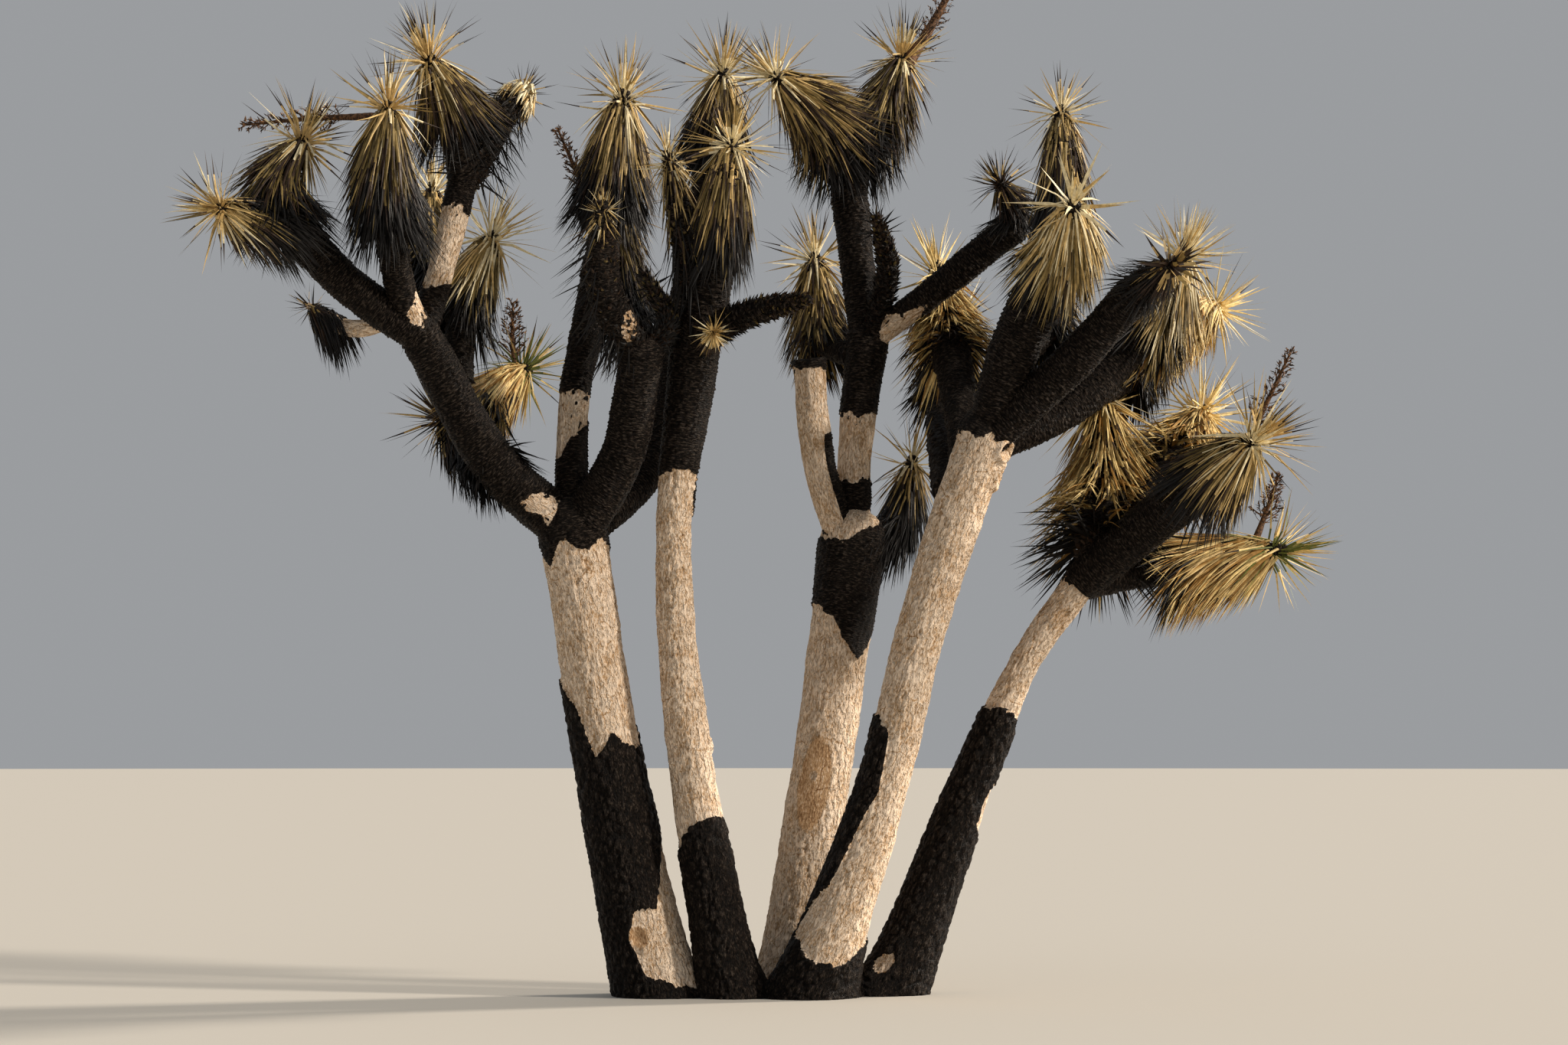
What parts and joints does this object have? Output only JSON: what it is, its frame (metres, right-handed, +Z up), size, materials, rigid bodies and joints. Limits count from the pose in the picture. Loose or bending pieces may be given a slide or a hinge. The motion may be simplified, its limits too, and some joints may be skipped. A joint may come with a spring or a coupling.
{
  "type": "burnt joshua tree",
  "caption": "Fire-scarred joshua tree: pale and charred stems lean out from one root crown and fork into scaly boughs, with heads of dagger leaves over shaggy skirts of dead leaves.",
  "frame": {"origin": "middle of the flat cut under the front stem, at ground level", "axes": "+Z up from the ground, +X along the clump's widest spread, to the right for the usual viewer, +Y away from the viewer"},
  "size_m": [5.9058, 3.4549, 5.54],
  "materials": {
    "bare_wood": "weathered bare wood with the bark burnt off",
    "charred_bark": "charred, scaly bark",
    "dead_leaves": "dry, fibrous, satin",
    "golden_leaves": "dry, satin, golden",
    "burnt_leaves": "charred leaf stubs"
  },
  "bodies": {
    "root": {"front_stem": "bare_wood", "left_stem": "bare_wood", "slim_stem": "bare_wood", "back_stem": "bare_wood", "right_stem": "bare_wood", "left_bough": "charred_bark", "thick_bough": "charred_bark", "centre_bough": "charred_bark", "rear_bough": "charred_bark", "far_left_bough": "charred_bark", "skirted_bough": "charred_bark", "bare_bough": "bare_wood", "slim_top_bough": "charred_bark", "back_bough": "charred_bark", "broken_bough": "bare_wood", "back_top_bough": "charred_bark", "crossing_bough": "charred_bark", "high_bough": "charred_bark", "arching_bough": "charred_bark", "lower_arching_bough": "charred_bark", "right_bough": "charred_bark", "far_left_head": "dead_leaves", "left_upright_head": "dead_leaves", "long_skirt_head": "dead_leaves", "top_left_head": "dead_leaves", "curled_head": "dead_leaves", "inner_left_head": "dead_leaves", "golden_inner_head": "golden_leaves", "drooping_head": "dead_leaves", "hidden_left_head": "dead_leaves", "rear_left_head": "dead_leaves", "centre_top_head": "dead_leaves", "scorched_head": "burnt_leaves", "bristle_stub": "burnt_leaves", "rear_centre_head": "dead_leaves", "rear_skirt_head": "dead_leaves", "slim_top_head": "dead_leaves", "slim_side_head": "dead_leaves", "small_front_head": "dead_leaves", "bristle_bough": "burnt_leaves", "draped_head": "dead_leaves", "stalk_head": "dead_leaves", "hooked_stub": "burnt_leaves", "crossing_head": "dead_leaves", "back_left_head": "dead_leaves", "sheltered_head": "dead_leaves", "rear_right_head": "dead_leaves", "facing_head": "dead_leaves", "upper_right_head": "dead_leaves", "golden_rear_head": "golden_leaves", "rear_high_head": "dead_leaves", "burst_head": "dead_leaves", "outer_head": "dead_leaves", "outer_golden_head": "golden_leaves", "rear_outer_head": "dead_leaves", "right_head": "dead_leaves", "golden_fan_head": "golden_leaves", "golden_rear_fan_head": "golden_leaves", "green_tip_head": "golden_leaves"}
  },
  "joints": []
}
